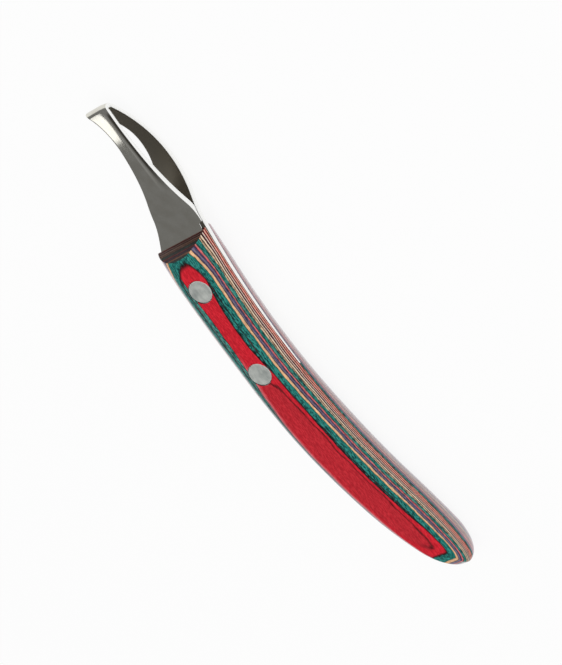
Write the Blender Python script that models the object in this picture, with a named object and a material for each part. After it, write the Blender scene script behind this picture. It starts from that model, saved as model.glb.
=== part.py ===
"""Farrier's loop knife: a strip-steel loop riveted into a handle of dyed laminated veneers.

The knife lies on the far side of its handle. +X runs toward the tip, -Y toward the spine,
+Z up through the near side. The origin lies on the far face, at the handle's mid-length.
All sizes below are millimetres; the meshes are written in metres.
"""
import math

import bmesh
import bpy
from mathutils import Vector

MM = 0.001

# Handle outline, seen from the side
HANDLE_LENGTH = 141.0
HANDLE_DEPTH = 19.6
SPINE_RADIUS = 300.0
SPINE_LOW_AHEAD = 23.5
BELLY_FRONT_RADIUS = 830.0
BELLY_REAR_RADIUS = 225.0
BELLY_LOW_AHEAD = 19.5
BUTT_TAPER = 33.0
BUTT_ROUNDING = 13.0

# Handle section: a flat side with rounded shoulders, a power of 2 being a true ellipse
SHOULDER_POWER = 2.2
NEAR_SPINE_POWER = 1.55
FLAT_AT_PALM = 7.8
RIM_AROUND_HEAD = 0.45
PALM_BEHIND_MIDDLE = 15.0
WAIST_BEHIND_FRONT = 40.0
FRONT_BEVEL_ANGLE = math.radians(33.0)
FRONT_EASE_LENGTH = 14.0
FRONT_EASE_DROP = 1.35

# Laminated block
VENEER_PITCH = 0.79
OUTER_VENEER_LEFT = 0.40
GLUE_LINE = 0.04

# Steel strip: loop, neck and tang
STRIP_THICKNESS = 2.0
LOOP_GAP = 9.6
LOOP_WALL_RADIUS = 45.0
TIP_BEND_RADIUS = 0.8
THROAT_RADIUS = 19.0
NECK_LENGTH = 1.3
UPPER_EDGE_RADIUS = 115.0
LOWER_EDGE_CREST = 34.5
LOWER_EDGE_RADIUS = 35.0
LOWER_TIP_RADIUS = 20.0
NARROWEST_DEPTH = 5.1
LOWER_EDGE_STEP = 1.8
LOWER_STEP_LENGTH = 3.0
EDGE_BREAK = 0.25
TANG_THICKNESS = 2.0
TANG_END_THICKNESS = 0.8
TANG_PAST_RIVET = 5.0
LEG_THICKNESS = 0.5
LEG_BELOW_SPINE = 1.3
LEG_END_BELOW_SPINE = 3.0
LEG_PAST_RIVET = 6.5
NOTCH_LENGTH = 2.2
NOTCH_RAMP = 0.6

# Cutler's rivets, two halves each
RIVET_BEHIND_FRONT = 16.3
RIVET_SPACING = 33.3
RIVET_HEAD_DIAMETER = 8.0
RIVET_HEAD_THICKNESS = 1.4
RIVET_HEAD_ROUNDING = 0.45
RIVET_BARREL_DIAMETER = 5.0
RIVET_PIN_DIAMETER = 3.0
RIVET_BARREL_SHORT = 0.8
RIVET_PIN_SHORT = 1.6

# Fits
SLOT_CLEARANCE = 0.2
RIVET_CLEARANCE = 0.15
PIN_CLEARANCE = 0.1
LEG_CLEARANCE = 0.1

# Facets
SPINE_STEPS = 14
EASE_STEPS = 4
BUTT_STEPS = 10
SHOULDER_STEPS = 8
TANG_STEPS = 8
WALL_STEPS = 14
BEND_STEPS = 8
ROUND_STEPS = 24
RIM_STEPS = 3
WELD_DISTANCE = 0.005

# Veneers from the near side to the far side, with colour names below
VENEERS = (
    "red", "teal", "tan", "slate", "pink", "teal", "cream", "plum", "coral",
    "coral", "teal", "slate",
    "coral", "plum", "cream", "teal", "pink", "slate", "tan", "teal", "red",
)
DYES = {
    "red": (200, 45, 55),
    "teal": (20, 120, 110),
    "tan": (240, 170, 120),
    "slate": (95, 90, 130),
    "pink": (210, 80, 90),
    "cream": (225, 200, 150),
    "plum": (80, 60, 90),
    "coral": (235, 110, 90),
}
STEEL = (150, 148, 142)
RIVET_METAL = (190, 190, 186)

# Derived places
FRONT_X = HANDLE_LENGTH / 2
BUTT_X = -HANDLE_LENGTH / 2
HALF_THICKNESS = (len(VENEERS) - 2) * VENEER_PITCH / 2 + OUTER_VENEER_LEFT
RIVETS_X = (FRONT_X - RIVET_BEHIND_FRONT, FRONT_X - RIVET_BEHIND_FRONT - RIVET_SPACING)
TANG_END_X = RIVETS_X[1] - TANG_PAST_RIVET
LEG_END_X = RIVETS_X[0] - LEG_PAST_RIVET
LOWER_CREST_X = FRONT_X + LOWER_EDGE_CREST
OVERRUN = 10.0


def arc_drop(radius, distance):
    """How far an arc falls away from its tangent at a distance from the point of contact."""
    return radius - math.sqrt(radius * radius - distance * distance)


def spine_y(x):
    """Spine line: one hollow arc."""
    return -HANDLE_DEPTH / 2 - arc_drop(SPINE_RADIUS, x - SPINE_LOW_AHEAD)


def belly_y(x):
    """Belly line: a long arc ahead of its lowest point and a tighter one behind it."""
    ahead = x - BELLY_LOW_AHEAD
    radius = BELLY_FRONT_RADIUS if ahead > 0 else BELLY_REAR_RADIUS
    return HANDLE_DEPTH / 2 - arc_drop(radius, ahead)


def axis_y(x):
    """Line halfway between spine and belly."""
    return (spine_y(x) + belly_y(x)) / 2


def smooth_step(value):
    """Ease from 0 to 1."""
    clamped = min(max(value, 0.0), 1.0)
    return clamped * clamped * (3 - 2 * clamped)


def palm_share(x):
    """How far the section has gone from its form at the waist to its form at the palm."""
    waist = FRONT_X - WAIST_BEHIND_FRONT
    return smooth_step((waist - x) / (waist + PALM_BEHIND_MIDDLE))


def half_flat(x, power):
    """Half the width of the flat side: at the rivets the outer veneer just keeps a rim round a head."""
    glue_level = 1 - OUTER_VENEER_LEFT / HALF_THICKNESS
    shoulder_share = (1 - glue_level ** power) ** (1 / power)
    rim = RIVET_HEAD_DIAMETER / 2 + RIVET_CLEARANCE + RIM_AROUND_HEAD
    at_rivets = (rim - shoulder_share * HANDLE_DEPTH / 2) / (1 - shoulder_share)
    return at_rivets + (FLAT_AT_PALM / 2 - at_rivets) * palm_share(x)


def butt_share(x, length):
    """Share of a full size left at x where the butt rounds off over a length."""
    into_butt = max(BUTT_X + length - x, 0.0) / length
    return math.sqrt(max(1.0 - into_butt * into_butt, 0.0))


def front_share(x):
    """How far x lies into the stretch where the sides ease off toward the front, from 0 to 1."""
    return max(x - FRONT_X + FRONT_EASE_LENGTH, 0.0) / FRONT_EASE_LENGTH


def half_thickness(x):
    """Half the handle's thickness, eased off toward the front."""
    return HALF_THICKNESS - FRONT_EASE_DROP * front_share(x) ** 2


def shoulder(x, power):
    """Quarter of a section, from the spine or belly line to the flat, as (outward, upward) points."""
    taper = butt_share(x, BUTT_TAPER)
    flat = half_flat(x, power) * taper * (1 - front_share(x))
    depth = (belly_y(x) - spine_y(x)) / 2 * taper
    half = half_thickness(x) * butt_share(x, BUTT_ROUNDING)
    quarter = []
    for step in range(SHOULDER_STEPS + 1):
        angle = math.pi / 2 * step / SHOULDER_STEPS
        out = flat + (depth - flat) * math.cos(angle) ** (2 / power)
        up = half * math.sin(angle) ** (2 / power)
        quarter.append((out, up))
    return quarter


def handle_section(x):
    """Points of one handle section, from the spine over the near side and back by the far side.

    Ahead of the palm the near spine shoulder is worked down flatter than the other three.
    """
    near_power = NEAR_SPINE_POWER + (SHOULDER_POWER - NEAR_SPINE_POWER) * palm_share(x)
    even = shoulder(x, SHOULDER_POWER)
    near = [(-out, up) for out, up in shoulder(x, near_power)]
    near += [(out, up) for out, up in reversed(even)]
    far = [(out, -up) for out, up in even[1:]]
    far += [(-out, -up) for out, up in reversed(even[1:])]
    middle = axis_y(x)
    return [Vector((x, middle + out, HALF_THICKNESS + up)) for out, up in near + far]


def handle_stations():
    """Places along the handle where a section is drawn, front to butt, without the pole."""
    ease_start = FRONT_X - FRONT_EASE_LENGTH
    butt_start = BUTT_X + BUTT_TAPER
    stations = [FRONT_X - FRONT_EASE_LENGTH * step / EASE_STEPS for step in range(EASE_STEPS)]
    for step in range(SPINE_STEPS + 1):
        stations.append(ease_start + (butt_start - ease_start) * step / SPINE_STEPS)
    for step in range(1, BUTT_STEPS):
        stations.append(butt_start - BUTT_TAPER * math.sin(math.pi / 2 * step / BUTT_STEPS))
    return stations


def loft(bm, sections):
    """Skin a row of equal sections with quads and return the rings of vertices."""
    rings = [[bm.verts.new(point) for point in section] for section in sections]
    for ring, following in zip(rings, rings[1:]):
        count = len(ring)
        for index in range(count):
            after = (index + 1) % count
            bm.faces.new((ring[index], ring[after], following[after], following[index]))
    return rings


def cut_away(bm, point, normal):
    """Remove what lies beyond a plane and close the cut."""
    geometry = bm.verts[:] + bm.edges[:] + bm.faces[:]
    bmesh.ops.bisect_plane(bm, geom=geometry, plane_co=point, plane_no=normal, clear_outer=True)
    rim = [edge for edge in bm.edges if edge.is_boundary]
    bmesh.ops.holes_fill(bm, edges=rim, sides=0)


def handle_block():
    """The shaped block before it is told apart into veneers."""
    bm = bmesh.new()
    rings = loft(bm, [handle_section(x) for x in handle_stations()])
    bm.faces.new(reversed(rings[0]))
    pole = bm.verts.new((BUTT_X, axis_y(BUTT_X), HALF_THICKNESS))
    last = rings[-1]
    for index, vertex in enumerate(last):
        bm.faces.new((vertex, last[(index + 1) % len(last)], pole))
    bmesh.ops.recalc_face_normals(bm, faces=bm.faces)
    slot_half = TANG_THICKNESS / 2 + SLOT_CLEARANCE
    for side in (1, -1):
        point = Vector((FRONT_X, 0.0, HALF_THICKNESS + side * slot_half))
        normal = Vector((math.cos(FRONT_BEVEL_ANGLE), 0.0, side * math.sin(FRONT_BEVEL_ANGLE)))
        cut_away(bm, point, normal)
    return bm


def srgb(colour):
    """Linear colour from 0 to 255 screen values."""
    linear = []
    for value in colour:
        share = value / 255
        linear.append(share / 12.92 if share <= 0.04045 else ((share + 0.055) / 1.055) ** 2.4)
    return (*linear, 1.0)


def principled(name, colour, roughness, metallic):
    """A plain surface material."""
    material = bpy.data.materials.new(name)
    material.use_nodes = True
    shader = material.node_tree.nodes["Principled BSDF"]
    shader.inputs["Base Color"].default_value = srgb(colour)
    shader.inputs["Roughness"].default_value = roughness
    shader.inputs["Metallic"].default_value = metallic
    return material


def add_object(name, bm, material=None, smooth_angle=None):
    """Turn a millimetre bmesh into a named object of the knife, or a hidden cutter."""
    bmesh.ops.scale(bm, vec=(MM, MM, MM), verts=bm.verts)
    mesh = bpy.data.meshes.new(name)
    bm.to_mesh(mesh)
    bm.free()
    if smooth_angle is not None:
        mesh.shade_smooth()
        mesh.set_sharp_from_angle(angle=math.radians(smooth_angle))
    item = bpy.data.objects.new(name, mesh)
    bpy.context.collection.objects.link(item)
    if material is None:
        item.hide_render = True
        item.display_type = "WIRE"
    else:
        mesh.materials.append(material)
    return item


def subtract(item, cutter):
    """Cut one object with another and keep the cut live."""
    modifier = item.modifiers.new(cutter.name, "BOOLEAN")
    modifier.operation = "DIFFERENCE"
    modifier.solver = "EXACT"
    modifier.object = cutter


def tang_half(x):
    """Half the tang's thickness, thinning evenly from the handle's front to the tang's end."""
    share = (x - TANG_END_X) / (FRONT_X - TANG_END_X)
    return (TANG_END_THICKNESS + (TANG_THICKNESS - TANG_END_THICKNESS) * share) / 2


def leg_top_y(x):
    """Straight upper edge of the short leg inside the handle."""
    share = (x - LEG_END_X) / (FRONT_X - LEG_END_X)
    rear = spine_y(LEG_END_X) + LEG_END_BELOW_SPINE
    return rear + (spine_y(FRONT_X) + LEG_BELOW_SPINE - rear) * share


def hexahedron(name, ends):
    """A hidden cutter between two upright four-cornered ends, given by their places along X."""
    bm = bmesh.new()
    sections = []
    for x, corners in ends.items():
        sections.append([Vector((x, y, HALF_THICKNESS + z)) for y, z in corners])
    rings = loft(bm, sections)
    bm.faces.new(rings[0])
    bm.faces.new(rings[1])
    bmesh.ops.recalc_face_normals(bm, faces=bm.faces)
    return add_object(name, bm)


def slot_cutter():
    """The tapered saw cut that takes the tang, open at spine and belly."""
    reach = HANDLE_DEPTH + OVERRUN
    ends = {}
    for x in (TANG_END_X - SLOT_CLEARANCE, FRONT_X + OVERRUN):
        half = tang_half(x) + SLOT_CLEARANCE
        ends[x] = ((-reach, -half), (reach, -half), (reach, half), (-reach, half))
    return hexahedron("slot", ends)


def leg_cutter():
    """The pocket beside the slot that takes the end of the short leg."""
    reach = HANDLE_DEPTH + OVERRUN
    outside = leg_outside() + SLOT_CLEARANCE
    ends = {}
    for x in (LEG_END_X - SLOT_CLEARANCE, FRONT_X + OVERRUN):
        top = leg_top_y(x) - SLOT_CLEARANCE
        ends[x] = ((top, 0.0), (reach, 0.0), (reach, outside), (top, outside))
    return hexahedron("leg_pocket", ends)


def leg_outside():
    """Outer face of the short leg, which lies against the tang."""
    return TANG_THICKNESS / 2 + LEG_CLEARANCE + LEG_THICKNESS


def turned(name, profile, centre, material=None):
    """A round piece spun about an upright line from (radius, height) points."""
    bm = bmesh.new()
    verts = [bm.verts.new((centre[0] + radius, centre[1], height)) for radius, height in profile]
    edges = [bm.edges.new(pair) for pair in zip(verts, verts[1:])]
    bmesh.ops.spin(
        bm, geom=verts + edges, cent=(*centre, 0.0), axis=(0, 0, 1),
        angle=2 * math.pi, steps=ROUND_STEPS, use_merge=True,
    )
    bmesh.ops.remove_doubles(bm, verts=bm.verts, dist=WELD_DISTANCE)
    bmesh.ops.recalc_face_normals(bm, faces=bm.faces)
    return add_object(name, bm, material, smooth_angle=35)


def head_profile(height, outward):
    """Rivet head from its underside's rim to its centre, with a rounded rim."""
    radius = RIVET_HEAD_DIAMETER / 2
    points = [(radius, height - outward * RIVET_HEAD_THICKNESS)]
    for step in range(RIM_STEPS + 1):
        angle = math.pi / 2 * step / RIM_STEPS
        round_in = RIVET_HEAD_ROUNDING * (1 - math.cos(angle))
        round_up = RIVET_HEAD_ROUNDING * (1 - math.sin(angle))
        points.append((radius - round_in, height - outward * round_up))
    points.append((0.0, height))
    return points


def rivet_centre(x):
    """Place of a rivet's axis, midway between spine and belly."""
    return (x, axis_y(x))


def add_rivet(name, x, material):
    """One cutler's rivet: a barrel half from the near side and a pin half from the far side."""
    top = 2 * HALF_THICKNESS
    barrel = RIVET_BARREL_DIAMETER / 2
    pin = RIVET_PIN_DIAMETER / 2
    bore = pin + PIN_CLEARANCE
    seat = RIVET_HEAD_THICKNESS
    barrel_profile = [(0.0, top - seat), (bore, top - seat), (bore, seat + RIVET_BARREL_SHORT)]
    barrel_profile += [(barrel, seat + RIVET_BARREL_SHORT), (barrel, top - seat)]
    barrel_profile += head_profile(top, 1)
    pin_profile = [(0.0, top - seat - RIVET_PIN_SHORT), (pin, top - seat - RIVET_PIN_SHORT)]
    pin_profile += [(pin, seat)] + head_profile(0.0, -1)
    turned(f"{name}_barrel_half", barrel_profile, rivet_centre(x), material)
    turned(f"{name}_pin_half", pin_profile, rivet_centre(x), material)


def rivet_cutter(name, x):
    """Stepped hole through handle and tang for one rivet."""
    head = RIVET_HEAD_DIAMETER / 2 + RIVET_CLEARANCE
    barrel = RIVET_BARREL_DIAMETER / 2 + RIVET_CLEARANCE
    seat = RIVET_HEAD_THICKNESS + RIVET_CLEARANCE
    top = 2 * HALF_THICKNESS
    profile = [(0.0, -OVERRUN), (head, -OVERRUN), (head, seat), (barrel, seat)]
    profile += [(barrel, top - seat), (head, top - seat), (head, top + OVERRUN), (0.0, top + OVERRUN)]
    return turned(name, profile, rivet_centre(x))


def add_veneers(slot, pocket, holes):
    """Part the block into its glued veneers, each cut for the tang, the leg and the rivets."""
    block = handle_block()
    dyes = {name: principled(f"veneer_{name}", colour, 0.35, 0.0) for name, colour in DYES.items()}
    count = len(VENEERS)
    for index, dye in enumerate(VENEERS):
        top = (count / 2 - index) * VENEER_PITCH
        bottom = top - VENEER_PITCH
        bm = block.copy()
        cut_away(bm, Vector((0, 0, HALF_THICKNESS + top - GLUE_LINE / 2)), Vector((0, 0, 1)))
        cut_away(bm, Vector((0, 0, HALF_THICKNESS + bottom + GLUE_LINE / 2)), Vector((0, 0, -1)))
        veneer = add_object(f"veneer_{index + 1:02d}_{dye}", bm, dyes[dye], smooth_angle=30)
        if top > -TANG_THICKNESS and bottom < TANG_THICKNESS:
            subtract(veneer, slot)
        if top > 0 and bottom < leg_outside() + SLOT_CLEARANCE:
            subtract(veneer, pocket)
        for hole in holes:
            subtract(veneer, hole)
    block.free()


def loop_middle():
    """Where the loop is widest: its place along X and the height of its near wall's centre of curvature."""
    outer = LOOP_WALL_RADIUS + STRIP_THICKNESS
    centre_z = LOOP_GAP / 2 - LOOP_WALL_RADIUS
    rise = THROAT_RADIUS + TANG_THICKNESS / 2 - centre_z
    reach = math.sqrt((outer + THROAT_RADIUS) ** 2 - rise * rise)
    return FRONT_X + NECK_LENGTH + reach, centre_z


def outside_line(rest_z):
    """Outer face of one wall on the +Z side, from where it leaves rest_z to the tip, as (place, outward)."""
    middle_x, centre_z = loop_middle()
    outer = LOOP_WALL_RADIUS + STRIP_THICKNESS
    rise = THROAT_RADIUS + rest_z - centre_z
    turn = math.acos(rise / (outer + THROAT_RADIUS))
    turn_x = middle_x - (outer + THROAT_RADIUS) * math.sin(turn)
    bend = TIP_BEND_RADIUS + STRIP_THICKNESS
    bend_x = middle_x + math.sqrt((outer - bend) ** 2 - centre_z * centre_z)
    tip_angle = math.atan2(bend_x - middle_x, -centre_z)
    line = []
    for step in range(BEND_STEPS):
        angle = turn * step / BEND_STEPS
        outward = Vector((-math.sin(angle), math.cos(angle)))
        line.append((Vector((turn_x, rest_z + THROAT_RADIUS)) - THROAT_RADIUS * outward, outward))
    for step in range(WALL_STEPS + 1):
        angle = -turn + (turn + tip_angle) * step / WALL_STEPS
        outward = Vector((math.sin(angle), math.cos(angle)))
        line.append((Vector((middle_x, centre_z)) + outer * outward, outward))
    for step in range(1, BEND_STEPS + 1):
        angle = tip_angle + (math.pi / 2 - tip_angle) * step / BEND_STEPS
        outward = Vector((math.sin(angle), math.cos(angle)))
        line.append((Vector((bend_x, 0.0)) + bend * outward, outward))
    return line


def far_wall():
    """Tang and far wall up to the tip, as (outer, inner) points in X and Z from the middle plane."""
    pairs = []
    for step in range(TANG_STEPS + 1):
        x = TANG_END_X + (FRONT_X - LOWER_STEP_LENGTH - TANG_END_X) * step / TANG_STEPS
        pairs.append((Vector((x, -tang_half(x))), Vector((x, tang_half(x)))))
    pairs.append((Vector((FRONT_X, -TANG_THICKNESS / 2)), Vector((FRONT_X, TANG_THICKNESS / 2))))
    for index, (place, outward) in enumerate(outside_line(TANG_THICKNESS / 2)):
        share = smooth_step(index / BEND_STEPS)
        thickness = TANG_THICKNESS + (STRIP_THICKNESS - TANG_THICKNESS) * share
        inner = place - thickness * outward
        pairs.append((Vector((place.x, -place.y)), Vector((inner.x, -inner.y))))
    return pairs


def near_wall(far_pairs):
    """Near wall from the tip back to the handle, thinned where it comes to lie on the far wall."""
    far_inner = [inner for _, inner in far_pairs]
    pairs = []
    for place, outward in outside_line(leg_outside())[-2::-1]:
        inner = place - STRIP_THICKNESS * outward
        floor = TANG_THICKNESS / 2
        for before, after in zip(far_inner, far_inner[1:]):
            if before.x <= inner.x < after.x:
                floor = before.y + (after.y - before.y) * (inner.x - before.x) / (after.x - before.x)
        if inner.y < floor + LEG_CLEARANCE:
            inner = Vector((inner.x, floor + LEG_CLEARANCE))
        pairs.append((place, inner))
    return pairs


def upper_edge_y(x):
    """Spine edge of the strip: the spine inside the handle, then an arc that leaves it tangent."""
    if x <= FRONT_X:
        return spine_y(x)
    slope_angle = math.asin((FRONT_X - SPINE_LOW_AHEAD) / SPINE_RADIUS)
    crest_x = FRONT_X + UPPER_EDGE_RADIUS * math.sin(slope_angle)
    crest_y = spine_y(FRONT_X) - UPPER_EDGE_RADIUS * (1 - math.cos(slope_angle))
    return crest_y + arc_drop(UPPER_EDGE_RADIUS, x - crest_x)


def lower_edge_y(x):
    """Belly edge of the strip: flush inside the handle, then a straight rise into two arcs."""
    if x <= FRONT_X:
        return belly_y(x) - LOWER_EDGE_STEP * smooth_step((x - FRONT_X) / LOWER_STEP_LENGTH + 1)
    crest_y = upper_edge_y(LOWER_CREST_X) + NARROWEST_DEPTH
    front_y = belly_y(FRONT_X) - LOWER_EDGE_STEP
    to_centre = Vector((LOWER_EDGE_CREST, crest_y + LOWER_EDGE_RADIUS - front_y))
    rise_angle = math.asin(LOWER_EDGE_RADIUS / to_centre.length) - math.atan2(to_centre.y, to_centre.x)
    ahead = x - LOWER_CREST_X
    if ahead < -LOWER_EDGE_RADIUS * math.sin(rise_angle):
        return front_y - (x - FRONT_X) * math.tan(rise_angle)
    return crest_y + arc_drop(LOWER_EDGE_RADIUS if ahead < 0 else LOWER_TIP_RADIUS, ahead)


def strip_section(outer, inner, upper, lower):
    """Section of the strip between its outer and inner face, with broken edges."""
    broken = min(EDGE_BREAK, (outer - inner).length / 4)
    step_in = (inner - outer).normalized() * broken
    outline = (
        (outer, upper + broken), (outer, lower - broken),
        (outer + step_in, lower), (inner - step_in, lower),
        (inner, lower - broken), (inner, upper + broken),
        (inner - step_in, upper), (outer + step_in, upper),
    )
    return [Vector((spot.x, y, HALF_THICKNESS + spot.y)) for spot, y in outline]


def add_blade(holes):
    """The strip: tang, far wall, tip bend, near wall and the short leg beside the tang."""
    far_pairs = far_wall()
    sections = []
    for outer, inner in far_pairs + near_wall(far_pairs):
        x = outer.x
        sections.append(strip_section(outer, inner, upper_edge_y(x), lower_edge_y(x)))
    notch_x = FRONT_X + NOTCH_LENGTH
    leg_inside = leg_outside() - LEG_THICKNESS
    tops = [(notch_x, upper_edge_y(notch_x))]
    for x in (notch_x - NOTCH_RAMP, FRONT_X, FRONT_X - LOWER_STEP_LENGTH, LEG_END_X):
        tops.append((x, leg_top_y(x)))
    for x, upper in tops:
        outer, inner = Vector((x, leg_outside())), Vector((x, leg_inside))
        sections.append(strip_section(outer, inner, upper, lower_edge_y(x)))
    bm = bmesh.new()
    rings = loft(bm, sections)
    bm.faces.new(rings[0])
    bm.faces.new(rings[-1])
    bmesh.ops.recalc_face_normals(bm, faces=bm.faces)
    steel = principled("blade_steel", STEEL, 0.3, 1.0)
    blade = add_object("loop_blade", bm, steel, smooth_angle=25)
    for hole in holes:
        subtract(blade, hole)


def main():
    """Build the knife."""
    for item in list(bpy.data.objects):
        bpy.data.objects.remove(item, do_unlink=True)
    names = ("front_rivet", "rear_rivet")
    holes = [rivet_cutter(f"{name}_hole", x) for name, x in zip(names, RIVETS_X)]
    add_blade(holes)
    add_veneers(slot_cutter(), leg_cutter(), holes)
    rivet_metal = principled("rivet_metal", RIVET_METAL, 0.4, 1.0)
    for name, x in zip(names, RIVETS_X):
        add_rivet(name, x, rivet_metal)


main()
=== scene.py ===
"""Looks of the loop knife: steel loop, laminated handle and rivets, in soft studio light."""
import logging
import math
from collections.abc import Callable, Iterable
from dataclasses import dataclass
from enum import Enum

import bmesh
import bpy
from mathutils import Matrix, Vector


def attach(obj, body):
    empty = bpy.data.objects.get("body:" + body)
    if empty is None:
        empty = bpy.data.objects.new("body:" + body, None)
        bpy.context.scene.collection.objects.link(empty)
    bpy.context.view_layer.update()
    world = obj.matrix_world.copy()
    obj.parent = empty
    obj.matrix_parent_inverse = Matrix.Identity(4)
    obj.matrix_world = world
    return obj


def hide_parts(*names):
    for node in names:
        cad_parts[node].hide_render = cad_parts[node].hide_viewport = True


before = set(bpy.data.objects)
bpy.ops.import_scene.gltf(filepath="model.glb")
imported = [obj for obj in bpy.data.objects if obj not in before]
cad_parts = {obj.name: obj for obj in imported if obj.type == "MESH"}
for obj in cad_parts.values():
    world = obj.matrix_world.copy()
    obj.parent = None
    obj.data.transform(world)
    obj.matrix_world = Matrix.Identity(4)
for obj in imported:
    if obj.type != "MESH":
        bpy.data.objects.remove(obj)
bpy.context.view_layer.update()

MM = 0.001
CENTIMETRES = 100.0
BODY = "root"
LOG = logging.getLogger("loop_knife")

Socket = bpy.types.NodeSocket
Colour = tuple[float, float, float]
Triple = tuple[float, float, float]
Tone = tuple[float, float, float, float]

WHITE: Tone = (1.0, 1.0, 1.0, 1.0)


@dataclass(frozen=True)
class DyeLook:
    """How one dye takes on the wood."""

    colour: Colour
    mottle: float
    lines: float = 0.0


class Dye(Enum):
    """Dyes of the veneers, with screen colours from 0 to 255."""

    RED = DyeLook((222, 26, 46), 0.25)
    TEAL = DyeLook((6, 132, 122), 0.9)
    TAN = DyeLook((254, 198, 150), 0.3)
    SLATE = DyeLook((92, 84, 124), 0.6, 0.12)
    PINK = DyeLook((220, 76, 92), 0.6, 0.2)
    CREAM = DyeLook((226, 186, 150), 0.5, 0.9)
    PLUM = DyeLook((120, 58, 84), 0.5, 0.9)
    CORAL = DyeLook((240, 92, 80), 0.6, 0.7)

    @property
    def slot(self) -> str:
        """Name of the record's material slot for this dye."""
        return f"veneer_{self.name.lower()}"

    @property
    def linear(self) -> Tone:
        """The dye's linear colour."""
        return linear(self.value.colour)


class Side(Enum):
    """Which side of the knife a piece is put in from."""

    NEAR = 1
    FAR = -1


@dataclass(frozen=True)
class Ease:
    """A smooth change from start to end while another value rises from low to high."""

    low: float
    high: float
    start: float = 0.0
    end: float = 1.0


def linear(colour: Colour) -> Tone:
    """Turn screen values from 0 to 255 into a linear colour.

    Args:
        colour: red, green and blue screen values.

    Returns:
        The linear colour with full alpha.
    """
    shares = [value / 255 for value in colour]
    bent = [s / 12.92 if s <= 0.04045 else ((s + 0.055) / 1.055) ** 2.4 for s in shares]
    return (bent[0], bent[1], bent[2], 1.0)


def smooth_step(value: float) -> float:
    """Ease from 0 to 1, flat outside that range."""
    clamped = min(max(value, 0.0), 1.0)
    return clamped * clamped * (3 - 2 * clamped)


def arc_drop(radius: float, distance: float) -> float:
    """How far an arc falls away from its tangent at a distance from the point of contact."""
    return radius - math.sqrt(radius * radius - distance * distance)


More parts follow.
